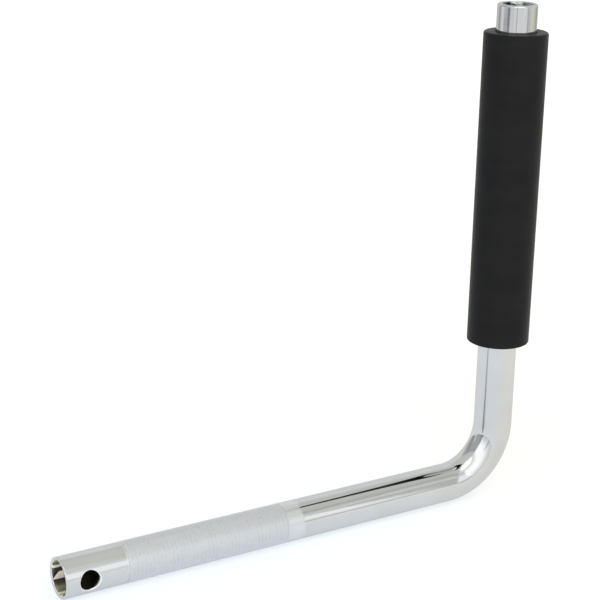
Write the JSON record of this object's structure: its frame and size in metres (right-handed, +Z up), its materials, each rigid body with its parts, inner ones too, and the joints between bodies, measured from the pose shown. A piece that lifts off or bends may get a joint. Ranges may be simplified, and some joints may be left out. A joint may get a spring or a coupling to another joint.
{
  "type": "angled wheel nut wrench",
  "caption": "Angled tubular wheel nut wrench: an upright leg with a hex socket and a free-spinning black grip, and a knurled lever with a larger hex socket and a tommy-bar hole.",
  "frame": {"origin": "on the ground, under the centre of the tool's box, with the lever lying on the ground", "axes": "+Z up along the upright leg, out of its socket; -X along the lever, out of its socket; Y across the tool"},
  "size_m": [0.3306, 0.04, 0.323],
  "materials": {
    "polished_chrome": "polished chrome plate, with a satin fine-knurled band on the lever",
    "satin_chrome": "satin, with fine turning lines",
    "black_plastic": "satin black plastic",
    "core_plastic": "matt moulded plastic",
    "bearing_bronze": "machined, oiled",
    "spring_steel": "dark, phosphated and oiled"
  },
  "bodies": {
    "wrench": {"wrench_tube": "polished_chrome", "drive_socket": "satin_chrome", "socket_cross_pin": "spring_steel", "upper_thrust_washer": "spring_steel", "lower_thrust_washer": "spring_steel", "upper_circlip": "spring_steel", "lower_circlip": "spring_steel"},
    "grip": {"grip_sleeve": "black_plastic", "grip_core": "core_plastic", "upper_bush": "bearing_bronze", "lower_bush": "bearing_bronze"}
  },
  "joints": [
    {"name": "grip_spin", "type": "hinge", "parent": "wrench", "child": "grip", "pos_m": [0.14525, 0, 0.206], "axis": [0, 0, 1], "continuous": true}
  ]
}
